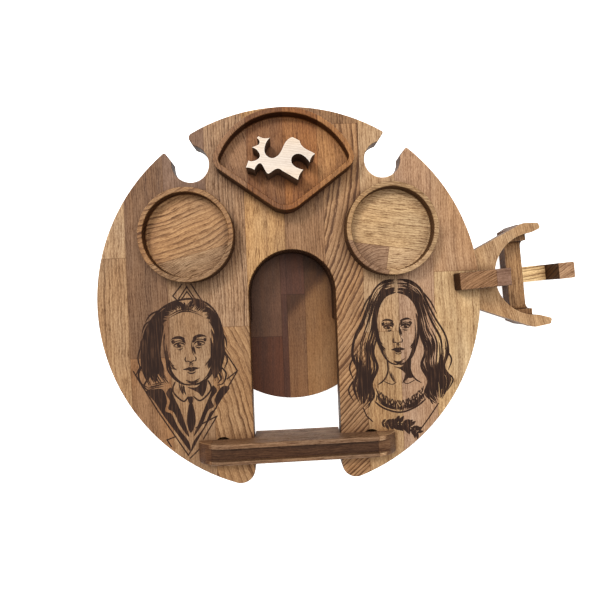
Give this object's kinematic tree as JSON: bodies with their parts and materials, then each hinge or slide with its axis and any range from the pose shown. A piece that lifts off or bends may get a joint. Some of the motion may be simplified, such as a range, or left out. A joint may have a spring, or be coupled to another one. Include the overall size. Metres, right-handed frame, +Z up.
{
  "type": "drinks table",
  "caption": "Round wooden drinks table on a base disc, with a bottle slot, stem notches, lift-out dishes, a gate bar and a clip-on side holder.",
  "frame": {"origin": "centre of the base disc's underside", "axes": "+Z up, the bottle slot opens towards -Y, the side holder is clipped on near +X"},
  "size_m": [0.5173, 0.3898, 0.088],
  "materials": {
    "oiled_oak": "oiled, satin",
    "dark_oak": "oiled, satin",
    "dish_oak": "oiled, satin",
    "pale_beech": "bare, matte, darkened cut edges",
    "peg_beech": "bare, matte",
    "screw_steel": "zinc plated"
  },
  "bodies": {
    "table": {"base_disc": "dark_oak", "horseshoe_spacer": "dark_oak", "base_screws": "screw_steel", "tabletop_screws": "screw_steel", "tabletop": "oiled_oak"},
    "left_dish": {"left_dish": "dish_oak"},
    "right_dish": {"right_dish": "dish_oak"},
    "triangular_dish": {"triangular_dish": "dish_oak"},
    "gate_bar": {"gate_bar": "oiled_oak", "gate_peg_left": "peg_beech", "gate_peg_right": "peg_beech"},
    "side_holder": {"holder_radial_board": "oiled_oak", "holder_cross_board": "oiled_oak", "holder_crescent": "oiled_oak", "holder_dowels": "peg_beech"},
    "notched_piece": {"notched_piece": "pale_beech"}
  },
  "joints": [
    {"name": "left_dish_lift", "type": "slide", "parent": "table", "child": "left_dish", "axis": [0, 0, 1], "range_m": [0, 0.08]},
    {"name": "right_dish_lift", "type": "slide", "parent": "table", "child": "right_dish", "axis": [0, 0, 1], "range_m": [0, 0.08]},
    {"name": "triangular_dish_lift", "type": "slide", "parent": "table", "child": "triangular_dish", "axis": [0, 0, 1], "range_m": [0, 0.08]},
    {"name": "notched_piece_lift", "type": "slide", "parent": "triangular_dish", "child": "notched_piece", "axis": [0, 0, 1], "range_m": [0, 0.06]},
    {"name": "gate_bar_lift", "type": "slide", "parent": "table", "child": "gate_bar", "axis": [0, 0, 1], "range_m": [0, 0.06]},
    {"name": "side_holder_pull", "type": "slide", "parent": "table", "child": "side_holder", "axis": [0.9979, 0.0645, 0], "range_m": [0, 0.06]}
  ]
}
